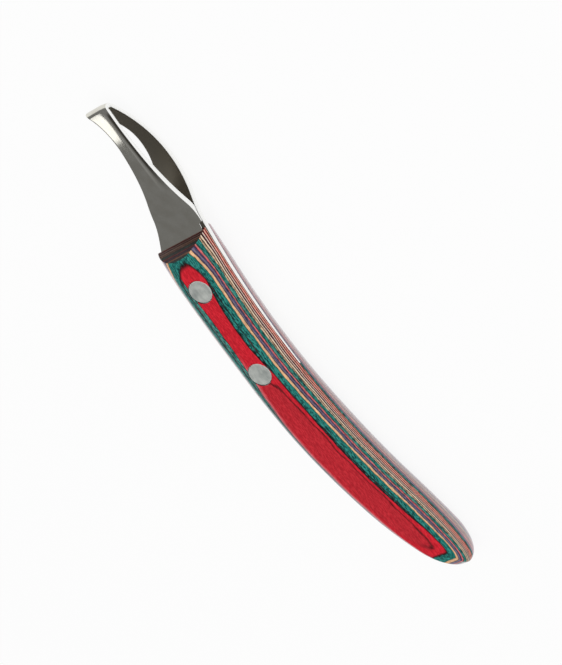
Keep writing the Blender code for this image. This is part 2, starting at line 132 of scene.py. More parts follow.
class Bench:
    """Hand operations on the one piece that is being worked on."""

    # Far below the usual threshold, which left holes in the veneers
    CUT_THRESHOLD = 1e-8
    BROAD_FACE_WEIGHT = 100

    @staticmethod
    def clear() -> None:
        """Leave edit mode and deselect everything."""
        if bpy.context.object and bpy.context.object.mode != "OBJECT":
            bpy.ops.object.mode_set(mode="OBJECT")
        bpy.ops.object.select_all(action="DESELECT")

    @staticmethod
    def take(piece: bpy.types.Object) -> None:
        """Make one piece the only selected and active one.

        Args:
            piece: the piece.
        """
        Bench.clear()
        piece.select_set(True)
        bpy.context.view_layer.objects.active = piece

    @staticmethod
    def start(name: str) -> bpy.types.Object:
        """Name the primitive that was just added and put its place into its mesh.

        Args:
            name: the piece's name.

        Returns:
            The piece.
        """
        piece = bpy.context.object
        piece.name = name
        piece.data.name = name
        bpy.ops.object.transform_apply(location=True, rotation=True, scale=True)
        return piece

    @staticmethod
    def pick(
        piece: bpy.types.Object,
        test: Callable[[bmesh.types.BMFace], bool] | None = None,
        edge_test: Callable[[bmesh.types.BMEdge], bool] | None = None,
    ) -> None:
        """Enter edit mode with only the faces or edges selected that pass a test.

        Args:
            piece: the piece to work on.
            test: which faces to select.
            edge_test: which edges to select, where faces aren't wanted.
        """
        Bench.take(piece)
        bpy.ops.object.mode_set(mode="EDIT")
        bpy.ops.mesh.select_mode(type="FACE" if test else "EDGE")
        bpy.ops.mesh.select_all(action="DESELECT")
        grid = bmesh.from_edit_mesh(piece.data)
        for face in grid.faces if test else ():
            face.select_set(test(face))
        for edge in grid.edges if edge_test else ():
            edge.select_set(edge_test(edge))
        bmesh.update_edit_mesh(piece.data)

    @staticmethod
    def cut(piece: bpy.types.Object, point: Vector, normal: Vector) -> None:
        """Saw away what lies beyond a plane and close the cut.

        Args:
            piece: the piece to saw.
            point: a point of the plane.
            normal: the direction that is taken away.
        """
        Bench.take(piece)
        bpy.ops.object.mode_set(mode="EDIT")
        bpy.ops.mesh.select_all(action="SELECT")
        bpy.ops.mesh.bisect(
            plane_co=point, plane_no=normal, use_fill=True, clear_outer=True, threshold=Bench.CUT_THRESHOLD,
        )
        bpy.ops.object.mode_set(mode="OBJECT")

    @staticmethod
    def face_out(piece: bpy.types.Object, weld: float = 0.0) -> None:
        """Turn all faces outward.

        Args:
            piece: the piece.
            weld: distance below which points are joined first.
        """
        Bench.take(piece)
        bpy.ops.object.mode_set(mode="EDIT")
        bpy.ops.mesh.select_all(action="SELECT")
        if weld:
            bpy.ops.mesh.remove_doubles(threshold=weld)
        bpy.ops.mesh.normals_make_consistent(inside=False)
        bpy.ops.object.mode_set(mode="OBJECT")

    @staticmethod
    def subtract(piece: bpy.types.Object, cutter: bpy.types.Object) -> None:
        """Cut one piece with another and apply the cut.

        Args:
            piece: the piece to cut.
            cutter: the shape that is taken away.
        """
        Bench.take(piece)
        modifier = piece.modifiers.new(cutter.name, "BOOLEAN")
        modifier.operation = "DIFFERENCE"
        modifier.solver = "EXACT"
        modifier.object = cutter
        bpy.ops.object.modifier_apply(modifier=modifier.name)

    @staticmethod
    def copy(piece: bpy.types.Object, name: str) -> bpy.types.Object:
        """Copy a piece with a mesh of its own.

        Args:
            piece: the piece to copy.
            name: the copy's name.

        Returns:
            The copy.
        """
        Bench.take(piece)
        bpy.ops.object.duplicate(linked=False)
        twin = bpy.context.object
        twin.name = name
        twin.data.name = name
        return twin

    @staticmethod
    def discard(pieces: Iterable[bpy.types.Object]) -> None:
        """Remove cutters and other helpers."""
        for piece in pieces:
            bpy.data.objects.remove(piece, do_unlink=True)

    @staticmethod
    def smooth(piece: bpy.types.Object, degrees: float, level: bool = False) -> None:
        """Shade a piece smooth across edges flatter than an angle.

        Args:
            piece: the piece.
            degrees: the angle.
            level: whether broad faces keep their own direction up to a rounded edge.
        """
        Bench.take(piece)
        bpy.ops.object.shade_smooth_by_angle(angle=math.radians(degrees))
        if level:
            modifier = piece.modifiers.new("level", "WEIGHTED_NORMAL")
            modifier.keep_sharp = True
            modifier.weight = Bench.BROAD_FACE_WEIGHT
            bpy.ops.object.modifier_apply(modifier=modifier.name)

    @staticmethod
    def hand_over(piece: bpy.types.Object, node: str, slot: str, material: bpy.types.Material) -> None:
        """Dress a finished piece and let it stand for its CAD node.

        Args:
            piece: the finished piece.
            node: the CAD node that it replaces.
            slot: the record's material slot; not used.
            material: its finish.
        """
        piece.data.materials.clear()
        piece.data.materials.append(material)
        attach(piece, BODY)
        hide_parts(node)
        LOG.info("%s: %d faces", piece.name, len(piece.data.polygons))


class Graph:
    """A node tree that is written from its inputs to its output."""

    def __init__(self, tree: bpy.types.NodeTree) -> None:
        """Hold the tree to write in."""
        self.tree = tree

    def fill(self, node: bpy.types.Node, inputs: dict[str | int, object]) -> None:
        """Set or link a node's inputs.

        Args:
            node: the node.
            inputs: a constant or a socket for each named or numbered input.
        """
        for key, value in inputs.items():
            if isinstance(value, Socket):
                self.tree.links.new(value, node.inputs[key])
            else:
                node.inputs[key].default_value = value

    def node(self, kind: str, inputs: dict[str | int, object], **settings: object) -> bpy.types.Node:
        """Add a node.

        Args:
            kind: the node's type name after "ShaderNode".
            inputs: a constant or a socket for each named or numbered input.
            settings: properties of the node.

        Returns:
            The node.
        """
        node = self.tree.nodes.new(f"ShaderNode{kind}")
        for name, value in settings.items():
            setattr(node, name, value)
        self.fill(node, inputs)
        return node

    def math(self, operation: str, first: object, second: object = 0.0) -> Socket:
        """Add a sum on two values and return its result."""
        return self.node("Math", {0: first, 1: second}, operation=operation).outputs[0]

    def plus(self, first: object, second: object) -> Socket:
        """Add two values."""
        return self.math("ADD", first, second)

    def minus(self, first: object, second: object) -> Socket:
        """Take one value from another."""
        return self.math("SUBTRACT", first, second)

    def times(self, first: object, second: object) -> Socket:
        """Multiply two values."""
        return self.math("MULTIPLY", first, second)

    def over(self, first: object, second: object) -> Socket:
        """Divide one value by another."""
        return self.math("DIVIDE", first, second)

    def size(self, value: object) -> Socket:
        """A value without its sign."""
        return self.math("ABSOLUTE", value)

    def remap(
        self, value: Socket, low: object, high: object, start: object = 0.0, end: object = 1.0,
    ) -> Socket:
        """Ease a value between two levels.

        Args:
            value: what is read.
            low: the level that gives start.
            high: the level that gives end.
            start: the result at and below low.
            end: the result at and above high.

        Returns:
            The eased value.
        """
        inputs = {"Value": value, "From Min": low, "From Max": high, "To Min": start, "To Max": end}
        return self.node("MapRange", inputs, interpolation_type="SMOOTHSTEP").outputs["Result"]

    def ease(self, value: Socket, change: Ease) -> Socket:
        """Run a value through a smooth change."""
        return self.remap(value, change.low, change.high, change.start, change.end)

    def blend(self, share: object, first: object, second: object, mode: str = "MIX") -> Socket:
        """Mix two colours by a share and return the result."""
        inputs = {"Factor": share, 6: first, 7: second}
        return self.node("Mix", inputs, data_type="RGBA", blend_type=mode).outputs[2]

    def choose(self, share: object, first: object, second: object) -> Socket:
        """Mix two values by a share and return the result."""
        return self.node("Mix", {"Factor": share, 2: first, 3: second}).outputs[0]

    def split(self, vector: Socket) -> list[Socket]:
        """Part a vector into its three values."""
        return list(self.node("SeparateXYZ", {0: vector}).outputs)

    def join(self, x: object, y: object, z: object) -> Socket:
        """Join three values into a vector."""
        return self.node("CombineXYZ", {0: x, 1: y, 2: z}).outputs[0]

    def stretch(self, vector: Socket, scale: Triple) -> Socket:
        """Scale a vector along each axis."""
        return self.node("Mapping", {"Vector": vector, "Scale": scale}).outputs[0]

    def noise(self, vector: Socket, detail: float, roughness: float = 0.5) -> Socket:
        """Read soft noise with cells of about one unit and return its value."""
        inputs = {"Vector": vector, "Scale": 1.0, "Detail": detail, "Roughness": roughness}
        return self.node("TexNoise", inputs).outputs[0]


class Effect(Enum):
    """Shared surface effects, each kept as one node group."""

    PLY_BANDS = "ply_bands"
    WOOD_GRAIN = "wood_grain"
    END_GRAIN = "end_grain"
    BRUSHED_LINES = "brushed_lines"


class EffectShelf:
    """Builds each shared effect once and places it in materials."""

    # Cells of noise in a metre along X, Y and Z
    STREAKS: Triple = (45.0, 900.0, 900.0)
    FLECKS: Triple = (620.0, 2900.0, 2900.0)
    LINE_DRIFT: Triple = (60.0, 150.0, 150.0)
    PORES: Triple = (1500.0, 1500.0, 1500.0)
    GRINDING: Triple = (110.0, 5200.0, 5200.0)
    CLOUDS: Triple = (210.0, 260.0, 260.0)
    WAVER_ALONG = 160.0
    WAVER_ACROSS = 420.0

    HAIRLINE_PITCH = 0.66 * MM
    HAIRLINE_DRIFT = 9.0
    PORE_DEPTH = 0.1
    END_FACING = Ease(0.62, 0.78)
    MIDDLE_TONES = Ease(0.3, 0.7)
    FLECK_TONES = Ease(0.4, 0.62)

    def __init__(self) -> None:
        """Build every effect."""
        self.groups = {
            Effect.PLY_BANDS: self._ply_bands(),
            Effect.WOOD_GRAIN: self._wood_grain(),
            Effect.END_GRAIN: self._end_grain(),
            Effect.BRUSHED_LINES: self._brushed_lines(),
        }

    def place(self, graph: Graph, effect: Effect, inputs: dict[str, object]) -> bpy.types.Node:
        """Place an effect in a material.

        Args:
            graph: the material's tree.
            effect: which effect.
            inputs: its values or sockets by name.

        Returns:
            The group node.
        """
        node = graph.tree.nodes.new("ShaderNodeGroup")
        node.node_tree = self.groups[effect]
        graph.fill(node, inputs)
        return node

    @staticmethod
    def _sheet(effect: Effect, inputs: dict[str, str], outputs: dict[str, str]) -> tuple[Graph, Callable]:
        """Start a node group.

        Args:
            effect: which effect it holds.
            inputs: socket kinds by input name.
            outputs: socket kinds by output name.

        Returns:
            The group's graph, and a function that reads an input or writes an output by name.
        """
        tree = bpy.data.node_groups.new(effect.value, "ShaderNodeTree")
        for name, kind in inputs.items():
            tree.interface.new_socket(name, in_out="INPUT", socket_type=f"NodeSocket{kind}")
        for name, kind in outputs.items():
            tree.interface.new_socket(name, in_out="OUTPUT", socket_type=f"NodeSocket{kind}")
        source = tree.nodes.new("NodeGroupInput")
        target = tree.nodes.new("NodeGroupOutput")

        def port(name: str, value: Socket | None = None) -> Socket:
            """Read an input, or write a value to an output.

            Args:
                name: name of the input or output.
                value: what is written, or None to read.

            Returns:
                The socket that was read or written.
            """
            if value is None:
                return source.outputs[name]
            tree.links.new(value, target.inputs[name])
            return value

        return Graph(tree), port

    def _ply_bands(self) -> bpy.types.NodeTree:
        """Wavering glue lines: a veneer's dye with its neighbours' dyes past each line.

        Returns:
            The group's tree.
        """
        inputs = {
            "Vector": "Vector", "Dye": "Color", "Dye Above": "Color", "Dye Below": "Color",
            "Upper": "Float", "Lower": "Float", "Upper Seed": "Float", "Lower Seed": "Float",
            "Waver": "Float", "Glue Half": "Float",
        }
        graph, port = self._sheet(Effect.PLY_BANDS, inputs, {"Color": "Color", "Glue": "Float"})
        x, y, z = graph.split(port("Vector"))
        past = []
        for seed, edge in (("Upper Seed", "Upper"), ("Lower Seed", "Lower")):
            spot = graph.join(
                graph.times(x, self.WAVER_ALONG), graph.times(y, self.WAVER_ACROSS), port(seed),
            )
            swing = graph.minus(graph.noise(spot, 2.0, 0.6), 0.5)
            line = graph.plus(port(edge), graph.times(swing, port("Waver")))
            past.append(graph.minus(z, line))
        above = graph.math("GREATER_THAN", past[0], 0.0)
        below = graph.math("LESS_THAN", past[1], 0.0)
        colour = graph.blend(above, port("Dye"), port("Dye Above"))
        port("Color", graph.blend(below, colour, port("Dye Below")))
        near = graph.math("MINIMUM", graph.size(past[0]), graph.size(past[1]))
        port("Glue", graph.remap(near, 0.0, port("Glue Half"), 1.0, 0.0))
        return graph.tree

    def _wood_grain(self) -> bpy.types.NodeTree:
        """Fibres along X: soft streaks, short flecks, fine lines between plies, and their height.

        Returns:
            The group's tree.
        """
        outputs = {"Streak": "Float", "Fleck": "Float", "Hairline": "Float", "Height": "Float"}
        graph, port = self._sheet(Effect.WOOD_GRAIN, {"Vector": "Vector"}, outputs)
        place = port("Vector")
        streak = graph.noise(graph.stretch(place, self.STREAKS), 4.0, 0.6)
        fleck = graph.noise(graph.stretch(place, self.FLECKS), 3.0, 0.65)
        drift = graph.noise(graph.stretch(place, self.LINE_DRIFT), 2.0, 0.6)
        cycle = graph.times(graph.split(place)[2], math.tau / self.HAIRLINE_PITCH)
        port("Hairline", graph.math("SINE", graph.plus(cycle, graph.times(drift, self.HAIRLINE_DRIFT))))
        port("Streak", graph.ease(streak, self.MIDDLE_TONES))
        port("Fleck", graph.ease(fleck, self.FLECK_TONES))
        port("Height", graph.plus(graph.times(streak, 0.5), graph.times(fleck, 0.5)))
        return graph.tree

    def _end_grain(self) -> bpy.types.NodeTree:
        """Mask of the sawn end, where the fibres are cut across.

        Returns:
            The group's tree.
        """
        graph, port = self._sheet(Effect.END_GRAIN, {"Vector": "Vector"}, {"Mask": "Float"})
        forward = graph.split(graph.node("NewGeometry", {}).outputs["True Normal"])[0]
        pores = graph.minus(graph.noise(graph.stretch(port("Vector"), self.PORES), 2.0), 0.5)
        lifted = graph.plus(forward, graph.times(pores, self.PORE_DEPTH))
        port("Mask", graph.ease(lifted, self.END_FACING))
        return graph.tree

    def _brushed_lines(self) -> bpy.types.NodeTree:
        """Fine grinding lines, drawn out along X, with cloudy wear over them.

        Returns:
            The group's tree.
        """
        outputs = {"Lines": "Float", "Clouds": "Float"}
        graph, port = self._sheet(Effect.BRUSHED_LINES, {"Vector": "Vector"}, outputs)
        lines = graph.noise(graph.stretch(port("Vector"), self.GRINDING), 3.0, 0.7)
        clouds = graph.noise(graph.stretch(port("Vector"), self.CLOUDS), 3.0)
        port("Lines", graph.ease(lines, self.MIDDLE_TONES))
        port("Clouds", graph.ease(clouds, self.MIDDLE_TONES))
        return graph.tree


def surface(name: str) -> tuple[bpy.types.Material, Graph, bpy.types.Node]:
    """Start a material.

    Args:
        name: the material's name.

    Returns:
        The material, its graph and its Principled shader.
    """
    material = bpy.data.materials.new(name)
    material.use_nodes = True
    return material, Graph(material.node_tree), material.node_tree.nodes["Principled BSDF"]


@dataclass(frozen=True)
class FaceFigure:
    """What shows on a face veneer: a growth ring, a rim where sanding wore the veneer through, and a
    painted highlight along the belly shoulder.

    Places are centimetres on the veneer's figure map: along the handle, and across it from its
    axis, with the spine side below zero.
    """

    sway_along: float = 1.1
    sway_across: float = 3.0
    sway_seed: float = 4.0
    ring_middle: float = -2.0
    ring_length: float = 3.8
    ring_width: float = 0.42
    ring_sway: float = 0.5
    ring_half: float = 0.1
    ring_strength: Ease = Ease(-0.1, 0.25, 0.9, 0.12)
    ring: Colour = (84, 8, 18)
    heart_edge: Ease = Ease(0.9, 1.05, 1.0, 0.0)
    heart_strength: float = 0.4
    heart: Colour = (178, 44, 52)
    waist: float = 3.8
    spine_rim: Ease = Ease(0.3, 2.9, 0.31, 0.53)
    belly_rim: Ease = Ease(-0.8, 3.6, 0.58, 0.26)
    belly_front: Ease = Ease(4.0, 7.0, 0.0, 0.14)
    rim_sway: float = 0.08
    rim_edge: Ease = Ease(-0.004, 0.004)
    # Painted highlight: a pale band along the rounded belly shoulder, behind the rivets or where sanded
    # through, in place of the lacquer's reflection.
    shoulder: Ease = Ease(-0.16, 0.02)
    belly_side: Ease = Ease(0.0, 0.1)
    behind_rivets: Ease = Ease(2.0, 3.2, 1.0, 0.0)
    painted_highlight: Colour = (244, 176, 180)
    painted_highlight_under: Colour = (96, 158, 146)
    painted_highlight_strength: float = 0.45
    tear_along: float = 7.0
    tear_across: float = 2.0
    tear_seed: float = 9.0
    tear: Ease = Ease(0.35, 0.65, 0.03, 0.11)
    tear_share: Ease = Ease(-0.1, 0.1, 1.0, 0.25)
    tear_start: Ease = Ease(-0.02, 0.0)
    tear_end: Ease = Ease(0.4, 1.0, 1.0, 0.0)

    def draw(
        self, graph: Graph, colour: Socket, glue: Socket, dye: Dye, under: Dye,
    ) -> tuple[Socket, Socket, Socket]:
        """Draw the figure on a face veneer.

        Args:
            graph: the material's graph.
            colour: the colour so far.
            glue: the mask of dark glue so far.
            dye: the veneer's dye.
            under: dye of the veneer beneath it.

        Returns:
            The colour, the glue mask and the strength of the flecks.
        """
        along, across, _ = graph.split(graph.node("UVMap", {}, uv_map="figure").outputs[0])
        spot = graph.join(
            graph.times(along, self.sway_along), graph.times(across, self.sway_across), self.sway_seed,
        )
        sway = graph.minus(graph.noise(spot, 3.0), 0.5)
        colour = self._growth_ring(graph, colour, (along, across), sway)
        ragged = graph.plus(graph.size(across), graph.times(sway, self.rim_sway))
        past = graph.minus(ragged, self._rim_line(graph, along, across))
        bare = graph.ease(past, self.rim_edge)
        colour = graph.blend(bare, colour, under.linear)
        # Painted highlight: pale pink on the face veneer, pale teal where it is sanded through, along the
        # belly shoulder.
        rounded = graph.times(graph.ease(past, self.shoulder), graph.ease(across, self.belly_side))
        shows = graph.math("MAXIMUM", bare, graph.ease(along, self.behind_rivets))
        highlight_tint = graph.blend(bare, linear(self.painted_highlight), linear(self.painted_highlight_under))
        colour = graph.blend(graph.times(graph.times(rounded, shows), self.painted_highlight_strength), colour, highlight_tint)
        rim = self._torn_rim(graph, (along, across), past)
        mottle = graph.remap(bare, 0.0, 1.0, dye.value.mottle, under.value.mottle)
        return colour, graph.math("MAXIMUM", glue, rim), mottle

    def _growth_ring(
        self, graph: Graph, colour: Socket, place: tuple[Socket, Socket], sway: Socket,
    ) -> Socket:
        """Draw one long growth ring round darker heartwood, strongest on the spine side.

        Args:
            graph: the material's graph.
            colour: the colour so far.
            place: place along and across the handle.
            sway: slow noise about zero that bends the ring.

        Returns:
            The colour with the ring.
        """
        along, across = place
        far = graph.over(graph.minus(along, self.ring_middle), self.ring_length)
        wide = graph.over(across, self.ring_width)
        round_sum = graph.plus(graph.math("POWER", far, 4.0), graph.times(wide, wide))
        ring = graph.plus(graph.math("SQRT", round_sum), graph.times(sway, self.ring_sway))
        heart = graph.times(graph.ease(ring, self.heart_edge), self.heart_strength)
        colour = graph.blend(heart, colour, linear(self.heart))
        line = graph.remap(graph.size(graph.minus(ring, 1.0)), 0.0, self.ring_half, 1.0, 0.0)
        strength = graph.times(line, graph.ease(across, self.ring_strength))
        return graph.blend(strength, colour, linear(self.ring))

    def _rim_line(self, graph: Graph, along: Socket, across: Socket) -> Socket:
        """Half the width that the shoulders leave of a face veneer.

        Args:
            graph: the material's graph.
            along: place along the handle.
            across: place across it.

        Returns:
            The half width on the side that across lies on.
        """
        spine = graph.ease(graph.size(graph.minus(along, self.waist)), self.spine_rim)
        belly = graph.plus(graph.ease(along, self.belly_rim), graph.ease(along, self.belly_front))
        return graph.choose(graph.math("GREATER_THAN", across, 0.0), spine, belly)

    def _torn_rim(self, graph: Graph, place: tuple[Socket, Socket], past: Socket) -> Socket:
        """Mask of the dark, torn line along the sanded rim, widest on the spine side.

        Args:
            graph: the material's graph.
            place: place along and across the handle.
            past: how far beyond the rim it lies.

        Returns:
            The mask.
        """
        along, across = place
        spot = graph.join(
            graph.times(along, self.tear_along), graph.times(across, self.tear_across), self.tear_seed,
        )
        torn = graph.ease(graph.noise(spot, 3.0, 0.7), self.tear)
        reach = graph.over(past, graph.times(torn, graph.ease(across, self.tear_share)))
        return graph.times(graph.ease(past, self.tear_start), graph.ease(reach, self.tear_end))


@dataclass(frozen=True)
class VeneerFinish:
    """Lacquered dyed wood, with the dyes of the veneers above and below."""

    dye: Dye
    above: Dye
    below: Dye
    upper: float
    lower: float
    order: int
    figure: FaceFigure = FaceFigure()
    seed_step: float = 5.3
    waver: float = 0.46 * MM
    outer_waver: float = 0.1 * MM
    glue: Colour = (26, 12, 16)
    glue_half: float = 0.11 * MM
    outer_glue_half: float = 0.16 * MM
    glue_patches: Ease = Ease(0.0, 1.0, 0.97, 0.55)
    outer_glue_patches: Ease = Ease(0.0, 1.0, 0.97, 0.9)
    deep_tone: Tone = (0.12, 0.15, 0.18, 1.0)
    lifted_tone: Tone = (1.35, 1.35, 1.35, 1.0)
    pale_tone: Tone = (0.8, 0.9, 0.82, 1.0)
    pale_share: float = 0.05
    streak_strength: float = 0.22
    light_line: Ease = Ease(0.5, 0.7)
    light_line_tone: Tone = (0.95, 0.8, 0.62, 1.0)
    dark_line: Ease = Ease(-0.75, -0.6, 1.0, 0.0)
    sawn_tone: Tone = (0.26, 0.22, 0.22, 1.0)
    burnt: Colour = (58, 24, 22)
    burnt_share: float = 0.45
    # Painted sheen: a pale mauve mixed into the base colour at grazing angles, in place of the lacquer's
    # reflection.
    painted_sheen: Colour = (236, 220, 228)
    painted_sheen_full: float = 0.9
    painted_sheen_strength: float = 0.85
    roughness: Ease = Ease(0.0, 1.0, 0.4, 0.55)
    grain_strength: float = 0.25
    grain_depth: float = 0.05 * MM
    lacquer: Ease = Ease(0.6, 0.85, 0.15, 1.0)

    def make(self, shelf: EffectShelf, outer: bool) -> bpy.types.Material:
        """Build the material.

        Args:
            shelf: the shared effects.
            outer: whether this is a face veneer, which shows its figure.

        Returns:
            The material.
        """
        material, graph, shader = surface(f"veneer_{self.order:02d}_{self.dye.name.lower()}")
        place = graph.node("TexCoord", {}).outputs["Object"]
        grain = shelf.place(graph, Effect.WOOD_GRAIN, {"Vector": place})
        sawn_end = shelf.place(graph, Effect.END_GRAIN, {"Vector": place}).outputs["Mask"]
        by_face = Dye.RED in (self.dye, self.above)
        bands = shelf.place(graph, Effect.PLY_BANDS, {
            "Vector": place, "Dye": self.dye.linear, "Dye Above": self.above.linear,
            "Dye Below": self.below.linear, "Upper": self.upper, "Lower": self.lower,
            "Upper Seed": self.order * self.seed_step, "Lower Seed": (self.order + 1) * self.seed_step,
            "Waver": self.outer_waver if outer else self.waver,
            "Glue Half": self.outer_glue_half if by_face else self.glue_half,
        })
        colour, glue = bands.outputs["Color"], bands.outputs["Glue"]
        mottle: Socket | float = self.dye.value.mottle
        if outer:
            under = self.below if self.order == 1 else self.above
            colour, glue, mottle = self.figure.draw(graph, colour, glue, self.dye, under)
        colour = self._grain(graph, grain, colour, mottle)
        patches = self.outer_glue_patches if by_face else self.glue_patches
        glue = graph.times(glue, graph.ease(grain.outputs["Fleck"], patches))
        colour = graph.blend(glue, colour, linear(self.glue))
        darkened = graph.blend(1.0, colour, self.sawn_tone, "MULTIPLY")
        sawn = graph.blend(self.burnt_share, darkened, linear(self.burnt))
        colour = graph.blend(sawn_end, colour, sawn)
        turned = graph.node("LayerWeight", {"Blend": 0.5}).outputs["Facing"]
        # Painted sheen: the colour pales as the surface turns edge-on to the eye.
        painted_sheen_share = graph.remap(turned, self._painted_sheen_start, self.painted_sheen_full, 0.0, self.painted_sheen_strength)
        relief = {
            "Height": grain.outputs["Height"],
            "Strength": self.grain_strength,
            "Distance": self.grain_depth,
        }
        graph.fill(shader, {
            "Base Color": graph.blend(painted_sheen_share, colour, linear(self.painted_sheen)),
            "Roughness": graph.ease(grain.outputs["Streak"], self.roughness),
            "Normal": graph.node("Bump", relief).outputs[0],
            "Coat Weight": graph.ease(turned, self.lacquer),
            "Coat Roughness": 0.12,
            "Specular IOR Level": 0.1,
            "Sheen Weight": 0.5,
            "Sheen Roughness": 0.25,
        })
        return material

    @property
    def _painted_sheen_start(self) -> float:
        """How far a surface turns from the eye before the painted sheen pales its colour, by the veneer's
        place.

        Returns:
            The turn, from 0 facing the eye to 1 edge-on.
        """
        if self.dye is Dye.RED:
            return 0.36
        if self.order <= 4:
            return 0.52
        return 0.6 if self.order <= 11 else 0.2

    def _grain(self, graph: Graph, grain: bpy.types.Node, colour: Socket, mottle: Socket | float) -> Socket:
        """Lay fibres, flecks and fine lines over the dye.

        Args:
            graph: the material's graph.
            grain: the placed grain effect.
            colour: the dye.
            mottle: how strongly the flecks show.

        Returns:
            The grained colour.
        """
        deep = graph.blend(1.0, colour, self.deep_tone, "MULTIPLY")
        lifted = graph.blend(1.0, colour, self.lifted_tone, "MULTIPLY")
        pale = graph.blend(self.pale_share, lifted, self.pale_tone)
        flecked = graph.blend(grain.outputs["Fleck"], deep, pale)
        colour = graph.blend(mottle, colour, flecked)
        colour = graph.blend(graph.times(grain.outputs["Streak"], self.streak_strength), colour, deep)
        hairline = grain.outputs["Hairline"]
        lined = graph.blend(graph.ease(hairline, self.light_line), colour, self.light_line_tone)
        lined = graph.blend(graph.ease(hairline, self.dark_line), lined, linear(self.glue))
        return graph.blend(self.dye.value.lines, colour, lined)


@dataclass(frozen=True)
class SteelFinish:
    """Satin strip steel whose edges are ground bright, with a painted reflection near the tip and painted
    shade inside the loop.
    """

    face: Colour = (221, 219, 210)
    worn: Colour = (200, 196, 184)
    worn_share: float = 0.5
    # Painted shade: the inside faces of the loop are darker.
    inside: Colour = (140, 134, 122)
    edge: Colour = (247, 247, 245)
    edge_turn: Ease = Ease(0.55, 0.85)
    # Painted reflection near the tip: a dark band along the upper edge, with a bright line beside it.
    shade: Colour = (112, 108, 98)
    shade_across: Ease = Ease(0.1, 0.2, 1.0, 0.0)
    gleam: Colour = (255, 253, 244)
    gleam_across: float = 0.28
    gleam_half: float = 0.09
    reflection_along: Ease = Ease(86.0 * MM, 98.0 * MM)
    short_of_nose: Ease = Ease(116.0 * MM, 118.0 * MM, 1.0, 0.0)
    polish: Ease = Ease(0.0, 1.0, 0.13, 0.19)
    inside_roughness: Ease = Ease(0.0, 1.0, 0.0, 0.35)

    def make(self, shelf: EffectShelf) -> bpy.types.Material:
        """Build the material.

        Args:
            shelf: the shared effects.

        Returns:
            The material.
        """
        material, graph, shader = surface("loop_steel")
        place = graph.node("TexCoord", {}).outputs["Object"]
        brushed = shelf.place(graph, Effect.BRUSHED_LINES, {"Vector": place})
        inner = graph.node("Attribute", {}, attribute_name="inside").outputs["Fac"]
        normal = graph.node("NewGeometry", {}).outputs["Normal"]
        ground = graph.ease(graph.size(graph.split(normal)[1]), self.edge_turn)
        clouded = graph.times(brushed.outputs["Clouds"], self.worn_share)
        colour = graph.blend(clouded, linear(self.face), linear(self.worn))
        # Painted reflection: dark band and bright line near the tip.
        colour = self._painted_reflection_band(graph, graph.split(place)[0], colour)
        # Painted shade inside the loop; the extra roughness there below is the inside's own.
        colour = graph.blend(inner, colour, linear(self.inside))
        polished = graph.ease(brushed.outputs["Lines"], self.polish)
        graph.fill(shader, {
            "Base Color": graph.blend(ground, colour, linear(self.edge)),
            "Roughness": graph.plus(polished, graph.ease(inner, self.inside_roughness)),
            "Metallic": 1.0,
        })
        return material

    def _painted_reflection_band(self, graph: Graph, along: Socket, colour: Socket) -> Socket:
        """Paint a reflection along the upper edge of the loop near the tip: a dark band, with a bright line
        beside it.

        Args:
            graph: the material's graph.
            along: place along the knife.
            colour: the colour so far.

        Returns:
            The colour with the band.
        """
        across = graph.node("Attribute", {}, attribute_name="across").outputs["Fac"]
        near_tip = graph.times(graph.ease(along, self.reflection_along), graph.ease(along, self.short_of_nose))
        dark = graph.ease(across, self.shade_across)
        colour = graph.blend(graph.times(dark, near_tip), colour, linear(self.shade))
        aside = graph.size(graph.minus(across, self.gleam_across))
        bright = graph.remap(aside, 0.0, self.gleam_half, 1.0, 0.0)
        return graph.blend(graph.times(bright, near_tip), colour, linear(self.gleam))


@dataclass(frozen=True)
class RivetFinish:
    """Sanded aluminium with faint scratches, dull spots and a painted highlight on each head's rim."""

    face: Colour = (204, 208, 202)
    dull: Colour = (140, 148, 144)
    scratch: Colour = (235, 236, 232)
    scratch_strength: float = 0.25
    scratch_bump: float = 0.15
    scratch_depth: float = 0.02 * MM
    # Painted highlight: the rounded rim of each head is lightened.
    rim: Colour = (240, 242, 238)
    highlight_turn: Ease = Ease(0.8, 0.985, 0.9, 0.0)
    roughness: Ease = Ease(0.0, 1.0, 0.3, 0.48)

    def make(self, shelf: EffectShelf) -> bpy.types.Material:
        """Build the material.

        Args:
            shelf: the shared effects.

        Returns:
            The material.
        """
        material, graph, shader = surface("rivet_aluminium")
        place = graph.node("TexCoord", {}).outputs["Object"]
        brushed = shelf.place(graph, Effect.BRUSHED_LINES, {"Vector": place})
        lines = brushed.outputs["Lines"]
        colour = graph.blend(brushed.outputs["Clouds"], linear(self.face), linear(self.dull))
        colour = graph.blend(graph.times(lines, self.scratch_strength), colour, linear(self.scratch))
        # Painted highlight on the head's tilted rim.
        upright = graph.size(graph.split(graph.node("NewGeometry", {}).outputs["Normal"])[2])
        relief = {"Height": lines, "Strength": self.scratch_bump, "Distance": self.scratch_depth}
        graph.fill(shader, {
            "Base Color": graph.blend(graph.ease(upright, self.highlight_turn), colour, linear(self.rim)),
            "Roughness": graph.ease(lines, self.roughness),
            "Normal": graph.node("Bump", relief).outputs[0],
            "Metallic": 0.3,
        })
        return material


